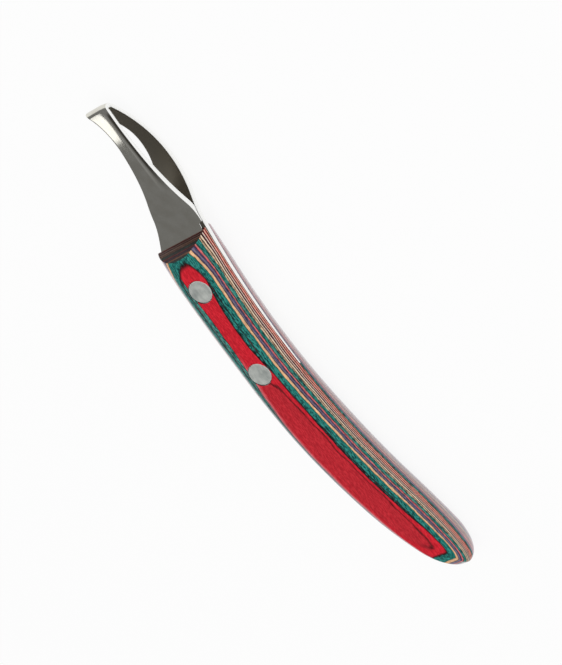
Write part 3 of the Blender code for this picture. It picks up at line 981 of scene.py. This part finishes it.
@dataclass
class HandleForm:
    """Outline and section of the handle; the same lines lead the strip and place the rivets."""

    length: float = 141.0 * MM
    depth: float = 19.6 * MM
    half_thickness: float = 7.905 * MM
    spine_radius: float = 300.0 * MM
    spine_low: float = 23.5 * MM
    belly_front_radius: float = 830.0 * MM
    belly_rear_radius: float = 225.0 * MM
    belly_low: float = 19.5 * MM
    butt_taper: float = 33.0 * MM
    butt_rounding: float = 13.0 * MM
    shoulder_power: float = 2.2
    near_spine_power: float = 1.55
    flat_at_palm: float = 3.9 * MM
    rivet_rim: float = 4.6 * MM
    outer_veneer: float = 0.4 * MM
    palm: float = -15.0 * MM
    waist: float = 30.5 * MM
    front_ease: float = 14.0 * MM
    front_drop: float = 1.35 * MM
    bevel_angle: float = math.radians(33.0)

    @property
    def front(self) -> float:
        """Place of the handle's front."""
        return self.length / 2

    @property
    def butt(self) -> float:
        """Place of the handle's rear end."""
        return -self.length / 2

    def spine(self, x: float) -> float:
        """Spine line at x."""
        return -self.depth / 2 - arc_drop(self.spine_radius, x - self.spine_low)

    def belly(self, x: float) -> float:
        """Belly line.

        Args:
            x: place along the handle.

        Returns:
            Y of the line.
        """
        ahead = x - self.belly_low
        radius = self.belly_front_radius if ahead > 0 else self.belly_rear_radius
        return self.depth / 2 - arc_drop(radius, ahead)

    def axis(self, x: float) -> float:
        """Line halfway between spine and belly at x."""
        return (self.spine(x) + self.belly(x)) / 2

    def _butt_share(self, x: float, length: float) -> float:
        """Share of a full size left at x where the butt rounds off over a length."""
        into = max(self.butt + length - x, 0.0) / length
        return math.sqrt(max(1.0 - into * into, 0.0))

    def _flat(self, power: float, share: float) -> float:
        """Half the flat side's width, at the rivets just wide enough to keep a rim round a head.

        Args:
            power: power of the shoulder beside it.
            share: from 0 ahead of the waist to 1 behind the palm.

        Returns:
            Half the width.
        """
        level = 1 - self.outer_veneer / self.half_thickness
        shoulder = (1 - level ** power) ** (1 / power)
        at_rivets = (self.rivet_rim - shoulder * self.depth / 2) / (1 - shoulder)
        return at_rivets + (self.flat_at_palm - at_rivets) * share

    def section(self, x: float, quarter: float, near_spine: bool) -> tuple[float, float]:
        """Point of the section at x.

        Args:
            x: place along the handle.
            quarter: from 0 at the spine or belly line to 1 at the edge of the flat.
            near_spine: whether it lies on the near spine shoulder, which is flatter ahead of the palm.

        Returns:
            Distance from the axis across the handle, and height above the middle plane.
        """
        share = smooth_step((self.waist - x) / (self.waist - self.palm))
        power = self.shoulder_power
        if near_spine:
            power = self.near_spine_power + (self.shoulder_power - self.near_spine_power) * share
        taper = self._butt_share(x, self.butt_taper)
        into_front = max(x - self.front + self.front_ease, 0.0) / self.front_ease
        flat = self._flat(power, share) * taper * (1 - into_front)
        depth = (self.belly(x) - self.spine(x)) / 2 * taper
        thick = self.half_thickness - self.front_drop * into_front ** 2
        half = thick * self._butt_share(x, self.butt_rounding)
        angle = math.pi / 2 * quarter
        out = flat + (depth - flat) * max(math.cos(angle), 0.0) ** (2 / power)
        return out, half * math.sin(angle) ** (2 / power)


@dataclass
class RivetSet:
    """Two cutler's rivets, each a barrel half and a pin half."""

    form: HandleForm
    places: tuple[float, float] = (54.2 * MM, 20.9 * MM)
    names: tuple[str, str] = ("front_rivet", "rear_rivet")
    head: float = 4.0 * MM
    head_thickness: float = 1.4 * MM
    rim: float = 0.3 * MM
    dome: float = 0.12 * MM
    barrel: float = 2.5 * MM
    pin: float = 1.5 * MM
    bore: float = 1.6 * MM
    barrel_length: float = 12.2 * MM
    pin_length: float = 11.4 * MM
    hole_clearance: float = 0.2 * MM
    overrun: float = 5.0 * MM
    facets: int = 72
    rim_segments: int = 4
    dome_rings: int = 5
    facing: float = 0.9
    smooth_angle: float = 40.0

    def centre(self, x: float) -> tuple[float, float]:
        """Axis of the rivet at x."""
        return (x, self.form.axis(x))

    def _add_disc(self, name: str, x: float, radius: float, low: float, high: float) -> bpy.types.Object:
        """Add an upright round blank on a rivet's axis.

        Args:
            name: the blank's name.
            x: the rivet's place.
            radius: the blank's radius.
            low: height of its lower end.
            high: height of its upper end.

        Returns:
            The blank.
        """
        Bench.clear()
        middle = (*self.centre(x), (low + high) / 2)
        bpy.ops.mesh.primitive_cylinder_add(
            vertices=self.facets, radius=radius, depth=high - low, location=middle,
        )
        return Bench.start(name)

    def cutters(self) -> list[bpy.types.Object]:
        """Make the hole cutters: a through hole and a seat at each end for each rivet.

        Returns:
            The cutters, to be discarded after use.
        """
        top = 2 * self.form.half_thickness
        wide = self.head + self.hole_clearance
        cuts = (
            ("hole", self.barrel + self.hole_clearance, -self.overrun, top + self.overrun),
            ("near_seat", wide, top - self.head_thickness, top + self.overrun),
            ("far_seat", wide, -self.overrun, self.head_thickness),
        )
        tools = []
        for name, x in zip(self.names, self.places):
            for kind, radius, low, high in cuts:
                tools.append(self._add_disc(f"{name}_{kind}", x, radius, low, high))
        return tools

    def _half(self, name: str, x: float, side: Side) -> bpy.types.Object:
        """Turn one half: a crowned head with its barrel or pin.

        Args:
            name: the piece's name.
            x: the rivet's place.
            side: the side its head is on.

        Returns:
            The piece.
        """
        top = 2 * self.form.half_thickness if side is Side.NEAR else 0.0
        out = side.value
        low, high = sorted((top, top - out * self.head_thickness))
        piece = self._add_disc(name, x, self.head, low, high)

        def outer(face: bmesh.types.BMFace) -> bool:
            """The face that shows on the handle."""
            return face.normal.z * out > self.facing

        def inner(face: bmesh.types.BMFace) -> bool:
            """The innermost face across the axis."""
            return face.normal.z * out < -self.facing and len(face.verts) == self.facets

        Bench.pick(piece, outer)
        bpy.ops.mesh.bevel(offset=self.rim, segments=self.rim_segments, affect="EDGES")
        bpy.ops.object.mode_set(mode="OBJECT")
        Bench.pick(piece, lambda face: outer(face) and len(face.verts) == self.facets)
        for _ in range(self.dome_rings):
            bpy.ops.mesh.inset(thickness=(self.head - self.rim) / (self.dome_rings + 1))
        bpy.ops.object.mode_set(mode="OBJECT")
        self._crown(piece, x, top, out)
        Bench.pick(piece, inner)
        reach = self.barrel if side is Side.NEAR else self.pin
        shank = self.barrel_length if side is Side.NEAR else self.pin_length
        bpy.ops.mesh.inset(thickness=self.head - reach)
        bpy.ops.mesh.extrude_region_move(TRANSFORM_OT_translate={"value": (0, 0, -out * shank)})
        if side is Side.NEAR:
            bpy.ops.mesh.inset(thickness=self.barrel - self.bore)
            bpy.ops.mesh.extrude_region_move(TRANSFORM_OT_translate={"value": (0, 0, shank)})
        bpy.ops.object.mode_set(mode="OBJECT")
        Bench.smooth(piece, self.smooth_angle, level=True)
        return piece

    def _crown(self, piece: bpy.types.Object, x: float, top: float, out: int) -> None:
        """Lower a head's face toward its rim, so that it is slightly crowned.

        Args:
            piece: the half.
            x: the rivet's place.
            top: height of the head's centre.
            out: direction that the head faces along Z.
        """
        centre = Vector(self.centre(x))
        for vertex in piece.data.vertices:
            if abs(vertex.co.z - top) < self.rim:
                share = (vertex.co.xy - centre).length / self.head
                vertex.co.z -= out * self.dome * share * share

    def build(self, shelf: EffectShelf) -> None:
        """Make and dress the four halves.

        Args:
            shelf: the shared effects.
        """
        metal = RivetFinish().make(shelf)
        for name, x in zip(self.names, self.places):
            for side, kind in ((Side.NEAR, "barrel_half"), (Side.FAR, "pin_half")):
                piece = self._half(f"{name}_{kind}_turned", x, side)
                Bench.hand_over(piece, f"{name}_{kind}", "rivet_metal", metal)


@dataclass
class LoopStrip:
    """The steel strip: tang, far wall, tip bend, near wall and short leg."""

    form: HandleForm
    thickness: float = 2.0 * MM
    gap: float = 9.6 * MM
    wall_radius: float = 45.0 * MM
    tip_radius: float = 0.8 * MM
    throat_radius: float = 19.0 * MM
    neck: float = 1.3 * MM
    upper_radius: float = 115.0 * MM
    lower_crest: float = 34.5 * MM
    lower_radius: float = 35.0 * MM
    lower_tip_radius: float = 20.0 * MM
    narrowest: float = 5.1 * MM
    lower_step: float = 1.8 * MM
    step_length: float = 3.0 * MM
    edge_break: float = 0.22 * MM
    tang_thickness: float = 2.0 * MM
    tang_end_thickness: float = 0.8 * MM
    tang_end: float = 15.9 * MM
    leg_thickness: float = 0.5 * MM
    leg_gap: float = 0.1 * MM
    leg_end: float = 47.7 * MM
    leg_below_spine: float = 1.3 * MM
    leg_end_below_spine: float = 3.0 * MM
    notch_length: float = 2.2 * MM
    notch_ramp: float = 0.3 * MM
    crown: float = 0.5 * MM
    crown_share: float = 0.46
    crown_start: float = 86.0 * MM
    crown_full: float = 110.0 * MM
    rows: int = 10
    wall_steps: int = 48
    bend_steps: int = 20
    tang_steps: int = 16
    step_rows: int = 6
    edge_segments: int = 2
    sharp_angle: float = 50.0
    smooth_angle: float = 32.0

    @property
    def leg_outside(self) -> float:
        """Outer face of the short leg, from the knife's middle plane."""
        return self.tang_thickness / 2 + self.leg_gap + self.leg_thickness

    def tang_at(self, x: float) -> float:
        """Thickness of the tang at x."""
        share = (x - self.tang_end) / (self.form.front - self.tang_end)
        return self.tang_end_thickness + (self.tang_thickness - self.tang_end_thickness) * share

    def leg_top(self, x: float) -> float:
        """Upper edge of the short leg inside the handle.

        Args:
            x: place along the knife.

        Returns:
            Y of the edge.
        """
        share = (x - self.leg_end) / (self.form.front - self.leg_end)
        rear = self.form.spine(self.leg_end) + self.leg_end_below_spine
        return rear + (self.form.spine(self.form.front) + self.leg_below_spine - rear) * share

    def upper_edge(self, x: float) -> float:
        """Spine edge of the strip.

        Args:
            x: place along the knife.

        Returns:
            Y of the edge.
        """
        front = self.form.front
        if x <= front:
            return self.form.spine(x)
        slope = math.asin((front - self.form.spine_low) / self.form.spine_radius)
        crest_x = front + self.upper_radius * math.sin(slope)
        crest_y = self.form.spine(front) - self.upper_radius * (1 - math.cos(slope))
        return crest_y + arc_drop(self.upper_radius, x - crest_x)

    def lower_edge(self, x: float) -> float:
        """Belly edge of the strip.

        Args:
            x: place along the knife.

        Returns:
            Y of the edge.
        """
        front = self.form.front
        if x <= front:
            return self.form.belly(x) - self.lower_step * smooth_step((x - front) / self.step_length + 1)
        crest_x = front + self.lower_crest
        crest_y = self.upper_edge(crest_x) + self.narrowest
        front_y = self.form.belly(front) - self.lower_step
        to_centre = Vector((self.lower_crest, crest_y + self.lower_radius - front_y))
        rise = math.asin(self.lower_radius / to_centre.length) - math.atan2(to_centre.y, to_centre.x)
        ahead = x - crest_x
        if ahead < -self.lower_radius * math.sin(rise):
            return front_y - (x - front) * math.tan(rise)
        return crest_y + arc_drop(self.lower_radius if ahead < 0 else self.lower_tip_radius, ahead)

    def _outside_line(self, rest: float) -> list[tuple[Vector, Vector]]:
        """Outer face of a wall on the near side, from where it leaves a level to the tip.

        Args:
            rest: the level above the middle plane.

        Returns:
            Places in X and Z from the middle plane, with the outward direction at each.
        """
        outer = self.wall_radius + self.thickness
        throat = self.throat_radius
        bend = self.tip_radius + self.thickness
        centre = self.gap / 2 - self.wall_radius

        def turn_to(level: float) -> float:
            """Angle through which a wall swings away from a level."""
            return math.acos((throat + level - centre) / (outer + throat))

        swing = (outer + throat) * math.sin(turn_to(self.tang_thickness / 2))
        middle_x = self.form.front + self.neck + swing
        turn = turn_to(rest)
        turn_x = middle_x - (outer + throat) * math.sin(turn)
        bend_x = middle_x + math.sqrt((outer - bend) ** 2 - centre * centre)
        tip_angle = math.atan2(bend_x - middle_x, -centre)
        line = []
        for step in range(self.bend_steps):
            angle = turn * step / self.bend_steps
            outward = Vector((-math.sin(angle), math.cos(angle)))
            line.append((Vector((turn_x, rest + throat)) - throat * outward, outward))
        for step in range(self.wall_steps + 1):
            angle = -turn + (turn + tip_angle) * step / self.wall_steps
            outward = Vector((math.sin(angle), math.cos(angle)))
            line.append((Vector((middle_x, centre)) + outer * outward, outward))
        for step in range(1, self.bend_steps + 1):
            angle = tip_angle + (math.pi / 2 - tip_angle) * step / self.bend_steps
            outward = Vector((math.sin(angle), math.cos(angle)))
            line.append((Vector((bend_x, 0.0)) + bend * outward, outward))
        return line

    def _far_wall(self) -> list[tuple[Vector, Vector]]:
        """Tang and far wall up to the tip.

        Returns:
            Outer and inner points from the middle plane.
        """
        straight = self.form.front - self.step_length - self.tang_end
        places = [self.tang_end]
        for length, count in ((straight, self.tang_steps), (self.step_length, self.step_rows)):
            places += [places[-1] + length * step / count for step in range(1, count + 1)]
        pairs = []
        for x in places:
            half = self.tang_at(x) / 2
            pairs.append((Vector((x, -half)), Vector((x, half))))
        for place, outward in self._outside_line(self.tang_thickness / 2):
            inner = place - self.thickness * outward
            pairs.append((Vector((place.x, -place.y)), Vector((inner.x, -inner.y))))
        return pairs

    def _near_wall(self, far: list[tuple[Vector, Vector]]) -> list[tuple[Vector, Vector]]:
        """Near wall from the tip back to the handle, thinned where it comes to lie on the far wall.

        Args:
            far: the far wall's points.

        Returns:
            Outer and inner points from the middle plane.
        """
        pairs = []
        for place, outward in self._outside_line(self.leg_outside)[-2::-1]:
            inner = place - self.thickness * outward
            level = self.tang_thickness / 2
            for (_, before), (_, after) in zip(far, far[1:]):
                if before.x <= inner.x < after.x:
                    level = before.y + (after.y - before.y) * (inner.x - before.x) / (after.x - before.x)
            inner.y = max(inner.y, level + self.leg_gap)
            pairs.append((place, inner))
        return pairs

    def _stations(self) -> list[tuple[Vector, Vector, float]]:
        """Places along the strip from the tang's end to the short leg's end.

        Returns:
            Outer point, inner point and upper edge of each.
        """
        front = self.form.front
        far = self._far_wall()
        stations = [(outer, inner, self.upper_edge(outer.x)) for outer, inner in far + self._near_wall(far)]
        notch = front + self.notch_length
        tops = [(notch, self.upper_edge(notch))]
        for x in (notch - self.notch_ramp, front, front - self.step_length, self.leg_end):
            tops.append((x, self.leg_top(x)))
        for x, upper in tops:
            outer = Vector((x, self.leg_outside))
            stations.append((outer, outer - Vector((0.0, self.leg_thickness)), upper))
        return stations

    def _ground_off(self, x: float, across: float) -> float:
        """Depth that grinding takes off the outside toward the upper edge near the tip.

        Args:
            x: place along the knife.
            across: from 0 at the upper edge to 1 at the lower edge.

        Returns:
            The depth.
        """
        near_tip = smooth_step((x - self.crown_start) / (self.crown_full - self.crown_start))
        near_edge = max(1 - across / self.crown_share, 0.0)
        return self.crown * near_tip * near_edge * near_edge

    def build(self, shelf: EffectShelf, holes: list[bpy.types.Object]) -> None:
        """Bend a flat strip into the loop, break its edges, drill it and dress it.

        Args:
            shelf: the shared effects.
            holes: cutters of the rivets.
        """
        stations = self._stations()
        last = len(stations) - 1
        Bench.clear()
        bpy.ops.mesh.primitive_grid_add(x_subdivisions=last, y_subdivisions=self.rows, size=1.0)
        strip = Bench.start("loop_strip")
        wall = strip.modifiers.new("wall", "SOLIDIFY")
        wall.thickness = 1.0
        bpy.ops.object.modifier_apply(modifier=wall.name)
        inside = strip.data.attributes.new("inside", "FLOAT", "POINT")
        from_upper = strip.data.attributes.new("across", "FLOAT", "POINT")
        for vertex in strip.data.vertices:
            outer, inner, upper = stations[round((vertex.co.x + 0.5) * last)]
            is_inner = vertex.co.z < -0.5
            inside.data[vertex.index].value = float(is_inner)
            across = vertex.co.y + 0.5
            from_upper.data[vertex.index].value = across
            ground = (inner - outer).normalized() * self._ground_off(outer.x, across)
            spot = inner if is_inner else outer + ground
            y = upper + (self.lower_edge(outer.x) - upper) * across
            vertex.co = (spot.x, y, self.form.half_thickness + spot.y)
        Bench.face_out(strip)
        broken = strip.modifiers.new("broken_edges", "BEVEL")
        broken.width = self.edge_break
        broken.segments = self.edge_segments
        broken.limit_method = "ANGLE"
        broken.angle_limit = math.radians(self.sharp_angle)
        bpy.ops.object.modifier_apply(modifier=broken.name)
        for hole in holes:
            Bench.subtract(strip, hole)
        Bench.smooth(strip, self.smooth_angle, level=True)
        Bench.hand_over(strip, "loop_blade", "blade_steel", SteelFinish().make(shelf))


@dataclass
class LaminatedHandle:
    """The handle: one shaped block, sawn for the tang and the leg, told apart into its veneers."""

    form: HandleForm
    strip: LoopStrip
    pitch: float = 0.79 * MM
    fit: float = 0.03 * MM
    overrun: float = 10.0 * MM
    slack: float = 0.001 * MM
    smooth_angle: float = 32.0
    line_shifts: tuple[tuple[int, float], ...] = ((2, -0.25 * MM), (5, 0.35 * MM), (6, 0.2 * MM))
    shoulder_steps: int = 26
    ring_cuts: int = 96
    butt_share: float = 0.4
    dyes: tuple[Dye, ...] = (
        Dye.RED, Dye.TEAL, Dye.TAN, Dye.SLATE, Dye.PINK, Dye.TEAL, Dye.CREAM, Dye.PLUM, Dye.CORAL,
        Dye.CORAL, Dye.TEAL, Dye.SLATE,
        Dye.CORAL, Dye.PLUM, Dye.CREAM, Dye.TEAL, Dye.PINK, Dye.SLATE, Dye.TAN, Dye.TEAL, Dye.RED,
    )

    def _station(self, share: float) -> float:
        """Place along X of a ring, the rings being closer set at the butt.

        Args:
            share: share of the rings from front to butt.

        Returns:
            The place.
        """
        butt_start = self.form.butt + self.form.butt_taper
        straight = 1 - self.butt_share
        if share <= straight:
            return self.form.front + (butt_start - self.form.front) * share / straight
        angle = math.pi / 2 * (share - straight) / self.butt_share
        return butt_start - self.form.butt_taper * math.sin(angle)

    def _ring_point(self, x: float, index: int) -> tuple[float, float]:
        """Point of a ring, counted from the belly line over the near side.

        Args:
            x: place along the handle.
            index: number of the point in its ring.

        Returns:
            Y and Z of the point.
        """
        steps = self.shoulder_steps
        across = 1 if index <= steps or index > 3 * steps + 1 else -1
        up = 1 if index <= 2 * steps + 1 else -1
        from_belly = index if up > 0 else 4 * steps + 2 - index
        step = from_belly if across > 0 else 2 * steps + 1 - from_belly
        out, height = self.form.section(x, step / steps, across < 0 < up)
        return self.form.axis(x) + across * out, self.form.half_thickness + up * height

    def _block(self) -> bpy.types.Object:
        """Shape a round billet into the handle and bevel its front.

        Returns:
            The block.
        """
        count = 4 * self.shoulder_steps + 2
        length = self.form.length
        Bench.clear()
        bpy.ops.mesh.primitive_cylinder_add(
            vertices=count, radius=self.form.depth / 2, depth=length, rotation=(0, math.pi / 2, 0),
        )
        block = Bench.start("handle_block")
        Bench.pick(block, edge_test=lambda edge: abs(edge.verts[0].co.x - edge.verts[1].co.x) > length / 2)
        bpy.ops.mesh.subdivide(number_cuts=self.ring_cuts)
        bpy.ops.object.mode_set(mode="OBJECT")
        for vertex in block.data.vertices:
            turn = math.atan2(vertex.co.z, vertex.co.y) / (2 * math.pi)
            x = self._station(0.5 - vertex.co.x / length)
            vertex.co = (x, *self._ring_point(x, round(turn * count) % count))
        Bench.face_out(block, weld=self.slack)
        slot_half = self.strip.tang_thickness / 2
        for side in Side:
            point = Vector((self.form.front, 0.0, self.form.half_thickness + side.value * slot_half))
            lean = self.form.bevel_angle
            Bench.cut(block, point, Vector((math.cos(lean), 0.0, side.value * math.sin(lean))))
        return block

    def _saw_cuts(self) -> list[bpy.types.Object]:
        """Make the cutters for the tang's tapered slot and the leg's pocket.

        Returns:
            The cutters, to be discarded after use.
        """
        front = self.form.front + self.overrun
        reach = 2 * self.form.depth
        middle = self.form.half_thickness
        cutters = []
        for name, rear in (("tang_slot", self.strip.tang_end), ("leg_pocket", self.strip.leg_end)):
            Bench.clear()
            bpy.ops.mesh.primitive_cube_add(size=1.0)
            cutter = Bench.start(name)
            for vertex in cutter.data.vertices:
                x = front if vertex.co.x > 0 else rear - self.fit
                if name == "tang_slot":
                    y = math.copysign(reach, vertex.co.y)
                    z = math.copysign(self.strip.tang_at(x) / 2 + self.fit, vertex.co.z)
                else:
                    y = reach if vertex.co.y > 0 else self.strip.leg_top(x) - self.fit
                    z = self.strip.leg_outside + self.fit if vertex.co.z > 0 else 0.0
                vertex.co = (x, y, middle + z)
            cutters.append(cutter)
        return cutters

    def _edges(self) -> list[float]:
        """Heights of the glue lines and the outer faces.

        Returns:
            The heights from the near side down.
        """
        count = len(self.dyes)
        middle = self.form.half_thickness
        return [middle + (count / 2 - index) * self.pitch for index in range(count + 1)]

    def _drawn_lines(self) -> list[float]:
        """Heights of the glue lines as they show, the veneers being of uneven thickness.

        Returns:
            The heights from the near side down.
        """
        lines = self._edges()
        for index, shift in self.line_shifts:
            lines[index] += shift
            lines[-1 - index] -= shift
        return lines

    def _mark_glue_faces(self, veneer: bpy.types.Object, heights: tuple[float, float]) -> None:
        """Set the sawn faces off from the rounded outside with sharp edges.

        Args:
            veneer: the veneer.
            heights: heights of its glue faces.
        """

        def on_glue_line(face: bmesh.types.BMFace) -> bool:
            """Whether a face lies at one of the heights."""
            return any(abs(face.calc_center_median().z - height) < self.slack for height in heights)

        Bench.pick(veneer, on_glue_line)
        bpy.ops.mesh.region_to_loop()
        bpy.ops.mesh.mark_sharp()
        bpy.ops.object.mode_set(mode="OBJECT")

    @staticmethod
    def _meets(cutter: bpy.types.Object, upper: float, lower: float) -> bool:
        """Whether a cutter reaches into a veneer between two heights."""
        heights = [vertex.co.z for vertex in cutter.data.vertices]
        return min(heights) < upper and max(heights) > lower

    def _draw_figure_map(self, veneer: bpy.types.Object) -> None:
        """Lay a flat map on a veneer that follows the handle's curve, in centimetres.

        Args:
            veneer: the veneer.
        """
        layer = veneer.data.uv_layers.get("figure") or veneer.data.uv_layers.new(name="figure")
        for loop in veneer.data.loops:
            spot = veneer.data.vertices[loop.vertex_index].co
            across = spot.y - self.form.axis(spot.x)
            layer.uv[loop.index].vector = (spot.x * CENTIMETRES, across * CENTIMETRES)

    def build(self, shelf: EffectShelf, holes: list[bpy.types.Object]) -> None:
        """Shape the block, part it into veneers and dress them.

        Args:
            shelf: the shared effects.
            holes: cutters of the rivets.
        """
        block = self._block()
        saws = self._saw_cuts()
        edges = self._edges()
        lines = self._drawn_lines()
        last = len(self.dyes) - 1
        for index, dye in enumerate(self.dyes):
            upper, lower = edges[index], edges[index + 1]
            name = f"veneer_{index + 1:02d}_{dye.name.lower()}"
            veneer = Bench.copy(block, f"{name}_shaped")
            if index > 0:
                Bench.cut(veneer, Vector((0, 0, upper)), Vector((0, 0, 1)))
            if index < last:
                Bench.cut(veneer, Vector((0, 0, lower)), Vector((0, 0, -1)))
            for cutter in saws + holes:
                if self._meets(cutter, upper, lower):
                    Bench.subtract(veneer, cutter)
            Bench.smooth(veneer, self.smooth_angle)
            self._mark_glue_faces(veneer, (upper, lower))
            self._draw_figure_map(veneer)
            above = self.dyes[max(index - 1, 0)]
            below = self.dyes[min(index + 1, last)]
            finish = VeneerFinish(dye, above, below, lines[index], lines[index + 1], index + 1)
            Bench.hand_over(veneer, name, dye.slot, finish.make(shelf, index in (0, last)))
        Bench.discard([block, *saws])


@dataclass(frozen=True)
class Lamp:
    """A round soft lamp that faces the knife."""

    name: str
    place: Triple
    diameter: float
    watts: float
    mirrored: bool

    def hang(self, aim: Vector) -> None:
        """Hang the lamp.

        Args:
            aim: the point that it faces.
        """
        light = bpy.data.lights.new(self.name, "AREA")
        light.shape = "DISK"
        light.size = self.diameter
        light.energy = self.watts
        lamp = bpy.data.objects.new(self.name, light)
        lamp.location = self.place
        lamp.visible_glossy = self.mirrored
        lamp.rotation_euler = (aim - Vector(self.place)).to_track_quat("-Z", "Y").to_euler()
        bpy.context.scene.collection.objects.link(lamp)


@dataclass
class Studio:
    """Pale floor, soft light and the camera."""

    aim: Vector
    right: Vector
    up: Vector
    back: Vector
    distance: float = 793.85 * MM
    lens: float = 160.3
    sensor: float = 36.0
    shift: tuple[float, float] = (-0.0016, 0.0019)
    floor_size: float = 6.0
    floor_drop: float = 0.2 * MM
    floor_grey: Tone = (0.9, 0.9, 0.9, 1.0)
    floor_roughness: float = 0.9
    floor_glow: float = 0.9
    room: float = 0.55
    ceiling: Ease = Ease(0.02, 0.2, 1.0, 0.2)
    lamps: tuple[Lamp, ...] = (
        Lamp("overhead", (0.05, -0.25, 0.9), 0.9, 3.5, mirrored=False),
        Lamp("tip_box", (0.45, 0.6, 0.72), 0.4, 0.58, mirrored=True),
    )

    def build(self) -> None:
        """Set up floor, world, lamps, camera and view."""
        bpy.context.scene.view_settings.view_transform = "Standard"
        self._floor()
        self._world()
        for lamp in self.lamps:
            lamp.hang(self.aim)
        self._camera()

    def _floor(self) -> None:
        """Lay the pale floor, which shows white and keeps a faint shadow."""
        Bench.clear()
        bpy.ops.mesh.primitive_grid_add(
            x_subdivisions=4, y_subdivisions=4, size=self.floor_size, location=(0, 0, -self.floor_drop),
        )
        floor = Bench.start("studio_floor")
        material, graph, shader = surface("pale_floor")
        graph.fill(shader, {"Base Color": self.floor_grey, "Roughness": self.floor_roughness})
        path = graph.node("LightPath", {})
        seen = graph.math("MAXIMUM", path.outputs["Is Camera Ray"], path.outputs["Is Glossy Ray"])
        white = graph.node("Emission", {"Color": WHITE, "Strength": 1.0})
        share = graph.times(seen, self.floor_glow)
        mix = graph.node("MixShader", {0: share, 1: shader.outputs[0], 2: white.outputs[0]})
        graph.fill(graph.tree.nodes["Material Output"], {"Surface": mix.outputs[0]})
        floor.data.materials.append(material)

    def _world(self) -> None:
        """Surround the knife with even light, under a ceiling that mirrors dark."""
        world = bpy.data.worlds.new("studio_room")
        bpy.context.scene.world = world
        world.use_nodes = True
        graph = Graph(world.node_tree)
        direction = graph.node("TexCoord", {}).outputs["Generated"]
        mirrored = graph.ease(graph.split(direction)[2], self.ceiling)
        path = graph.node("LightPath", {})
        seen = graph.math("MAXIMUM", path.outputs["Is Camera Ray"], path.outputs["Is Transmission Ray"])
        level = graph.choose(path.outputs["Is Glossy Ray"], self.room, mirrored)
        backdrop = world.node_tree.nodes["Background"]
        graph.fill(backdrop, {"Color": WHITE, "Strength": graph.math("MAXIMUM", seen, level)})

    def _camera(self) -> None:
        """Stand the camera where the photograph was taken from."""
        lens = bpy.data.cameras.new("camera")
        lens.sensor_fit = "HORIZONTAL"
        lens.sensor_width = self.sensor
        lens.lens = self.lens
        lens.shift_x, lens.shift_y = self.shift
        camera = bpy.data.objects.new("camera", lens)
        turn = Matrix((self.right, self.up, self.back)).transposed().to_4x4()
        camera.matrix_world = Matrix.Translation(self.aim + self.distance * self.back) @ turn
        bpy.context.scene.collection.objects.link(camera)
        bpy.context.scene.camera = camera


def main() -> None:
    """Build the knife and its studio."""
    logging.basicConfig(level=logging.INFO, format="%(name)s %(message)s")
    shelf = EffectShelf()
    form = HandleForm()
    rivets = RivetSet(form)
    strip = LoopStrip(form)
    handle = LaminatedHandle(form, strip)
    holes = rivets.cutters()
    strip.build(shelf, holes)
    handle.build(shelf, holes)
    rivets.build(shelf)
    Bench.discard(holes)
    Studio(
        aim=Vector((27.5, -11.1, 7.925)) * MM,
        right=Vector((-0.58410, -0.72034, -0.37409)),
        up=Vector((0.77101, -0.34832, -0.53312)),
        back=Vector((0.25373, -0.59982, 0.75884)),
    ).build()


if __name__ == "__main__":
    main()
